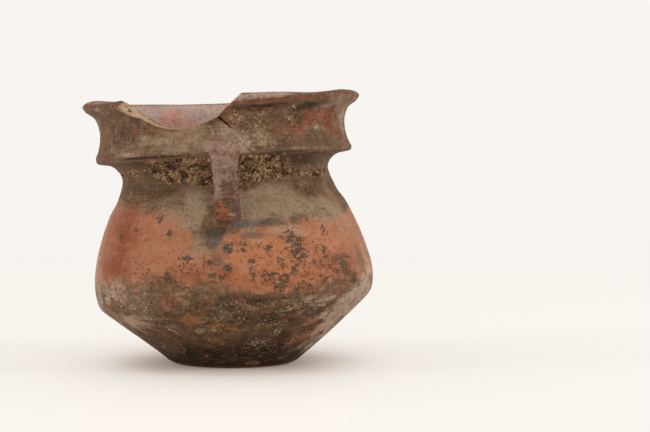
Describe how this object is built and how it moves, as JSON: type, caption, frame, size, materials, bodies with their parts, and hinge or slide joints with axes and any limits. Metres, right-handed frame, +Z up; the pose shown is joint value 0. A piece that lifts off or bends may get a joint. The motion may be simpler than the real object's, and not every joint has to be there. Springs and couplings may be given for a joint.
{
  "type": "pottery olla",
  "caption": "Small pottery cooking pot: flat foot, angular lower belly, narrow neck, projecting ridge, flared rim with a broken scoop, and a strap handle from ridge to shoulder.",
  "frame": {"origin": "centre of the flat underside of the foot", "axes": "+Z up; -Y towards the side with the handle and the broken rim"},
  "size_m": [0.1119, 0.1072, 0.1047],
  "materials": {
    "fired_clay": "burnished brown clay with a worn red slip, soot and caked soil, satin"
  },
  "bodies": {
    "root": {"olla": "fired_clay"}
  },
  "joints": []
}
